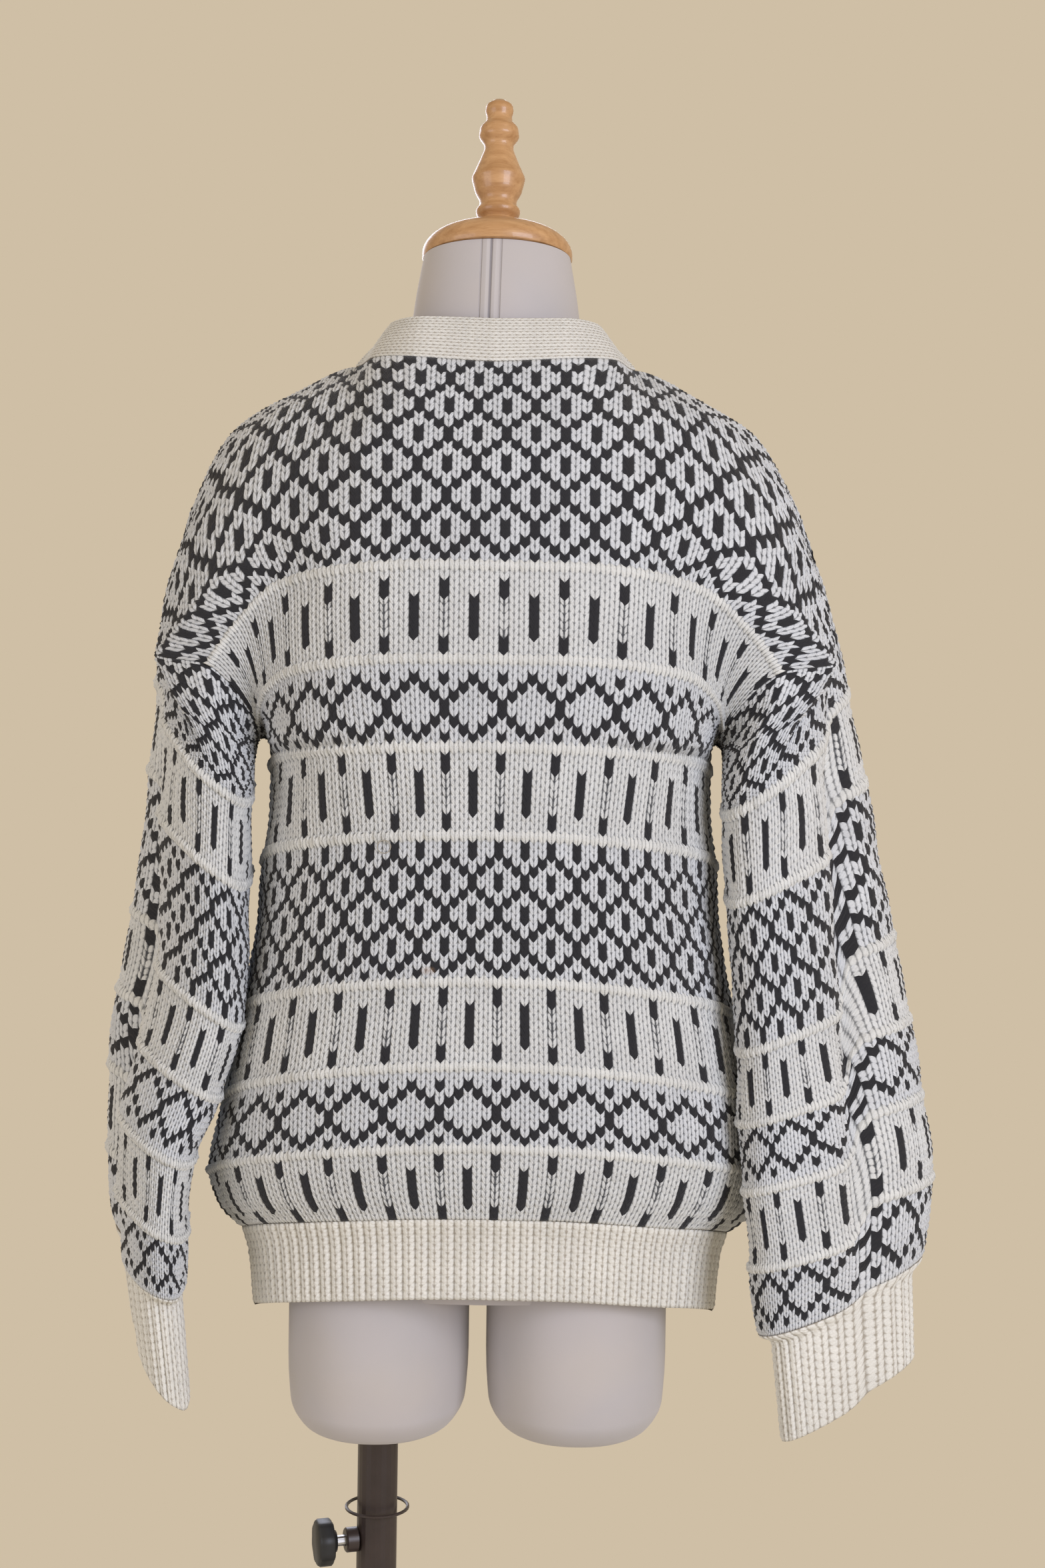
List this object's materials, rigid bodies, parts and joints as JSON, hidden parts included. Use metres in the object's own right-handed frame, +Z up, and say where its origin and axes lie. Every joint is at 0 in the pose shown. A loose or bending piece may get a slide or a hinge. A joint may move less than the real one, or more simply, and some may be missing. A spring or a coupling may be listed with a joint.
{
  "type": "knitted cardigan on a limbless dress form with a floor stand",
  "caption": "Chunky patterned cardigan with dropped shoulders and ribbed hem, cuffs and neckband, on a limbless dress form with a height-adjustable floor pole.",
  "frame": {"origin": "centre of the base plate's underside, on the pole's axis", "axes": "+Z up; -Y to the cardigan's front; +X to the wearer's left; the form stands 77 mm to -X of the pole"},
  "size_m": [0.6155, 0.38, 1.5776],
  "materials": {
    "fair_isle_knit": "chunky stranded knit, matt",
    "ivory_rib": "ribbed knit, matt",
    "ivory_button": "satin",
    "grey_form_cover": "smooth jersey, matt",
    "turned_wood": "clear satin varnish",
    "dark_painted_steel": "dark brown, semi-gloss",
    "black_knob": "matt",
    "plain_steel": "plain"
  },
  "bodies": {
    "stand": {"base_plate": "dark_painted_steel", "base_hub": "dark_painted_steel", "inner_pole": "dark_painted_steel"},
    "post": {"post_tube": "dark_painted_steel", "wire_ring": "dark_painted_steel", "screw_boss": "dark_painted_steel"},
    "figure": {"back": "fair_isle_knit", "front_left": "fair_isle_knit", "front_right": "fair_isle_knit", "sleeve_left": "fair_isle_knit", "sleeve_right": "fair_isle_knit", "hem_rib_back": "ivory_rib", "hem_rib_left": "ivory_rib", "hem_rib_right": "ivory_rib", "cuff_left": "ivory_rib", "cuff_right": "ivory_rib", "neckband": "ivory_rib", "band_left": "ivory_rib", "band_right": "ivory_rib", "button_1": "ivory_button", "button_2": "ivory_button", "button_3": "ivory_button", "button_4": "ivory_button", "button_5": "ivory_button", "form": "grey_form_cover", "neck_cap": "turned_wood", "finial": "turned_wood"},
    "knob": {"clamp_knob": "black_knob", "clamp_screw": "plain_steel"}
  },
  "joints": [
    {"name": "height_slide", "type": "slide", "parent": "stand", "child": "post", "axis": [0, 0, 1], "range_m": [0, 0.15]},
    {"name": "form_swivel", "type": "hinge", "parent": "post", "child": "figure", "pos_m": [0, 0, 0.74], "axis": [0, 0, 1], "continuous": true},
    {"name": "clamp_turn", "type": "hinge", "parent": "post", "child": "knob", "pos_m": [0, 0, 0.494], "axis": [0.9511, 0.309, 0], "range_deg": [0, 720]}
  ]
}
